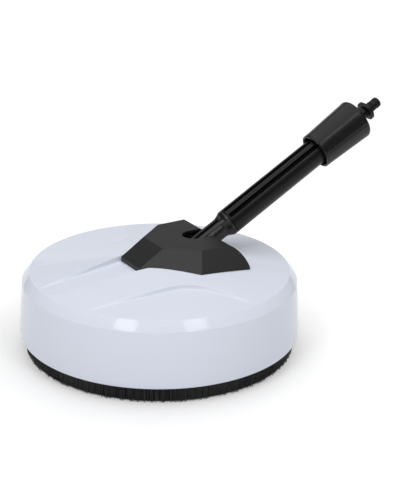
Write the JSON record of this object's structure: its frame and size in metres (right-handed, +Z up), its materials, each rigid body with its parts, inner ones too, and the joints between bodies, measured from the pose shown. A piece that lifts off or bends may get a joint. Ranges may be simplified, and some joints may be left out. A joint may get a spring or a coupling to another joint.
{
  "type": "surface cleaner",
  "caption": "Round surface cleaner for a pressure washer: a dome on a bristle skirt, a spinning spray bar with nozzles under it, and a tilting wand with a bayonet inlet.",
  "frame": {"origin": "on the floor plane, under the middle of the whole object's box", "axes": "+X towards the wand's inlet, +Z up, XZ is the plane of symmetry"},
  "size_m": [0.4226, 0.29, 0.2302],
  "materials": {
    "white_shell": "glossy bluish white",
    "matt_black": "fine matt texture",
    "satin_black": "satin moulded",
    "bristle": "dense nylon bristles",
    "inner_plastic": "moulded",
    "steel": "stainless",
    "brass": "turned",
    "rubber": "moulded"
  },
  "bodies": {
    "dome": {"bearing_spacer": "inner_plastic", "bristle_skirt": "bristle", "brush_carrier": "inner_plastic", "brush_screw_1": "steel", "brush_screw_2": "steel", "brush_screw_3": "steel", "brush_screw_4": "steel", "brush_screw_5": "steel", "brush_screw_6": "steel", "cap_screw_1": "steel", "cap_screw_2": "steel", "cap_screw_3": "steel", "cap_screw_4": "steel", "centre_cap": "matt_black", "dome_shell": "white_shell", "housing_screw_1": "steel", "housing_screw_2": "steel", "housing_screw_3": "steel", "housing_screw_4": "steel", "lower_bearing": "steel", "shaft_seal": "rubber", "swivel_housing": "inner_plastic", "trunnion_circlip": "steel", "trunnion_oring_1": "rubber", "trunnion_oring_2": "rubber", "trunnion_pin": "steel", "upper_bearing": "steel"},
    "wand": {"wand_spigot": "satin_black", "wand_tube": "satin_black", "core_pipe": "steel", "pipe_seal": "rubber", "tube_adapter": "inner_plastic", "collar": "satin_black", "bayonet_plug": "satin_black", "nipple_oring_1": "rubber", "nipple_oring_2": "rubber"},
    "spray_bar": {"spindle": "steel", "spindle_circlip": "steel", "spray_hub": "inner_plastic", "spray_arm_left": "steel", "spray_arm_right": "steel", "nozzle_left": "brass", "nozzle_right": "brass"}
  },
  "joints": [
    {"name": "wand_tilt", "type": "hinge", "parent": "dome", "child": "wand", "pos_m": [-0.04032, 0, 0.08741], "axis": [0, -1, 0], "range_deg": [0, 26]},
    {"name": "spray_bar_spin", "type": "hinge", "parent": "dome", "child": "spray_bar", "pos_m": [-0.06632, 0, 0.033], "axis": [0, 0, 1], "continuous": true}
  ]
}
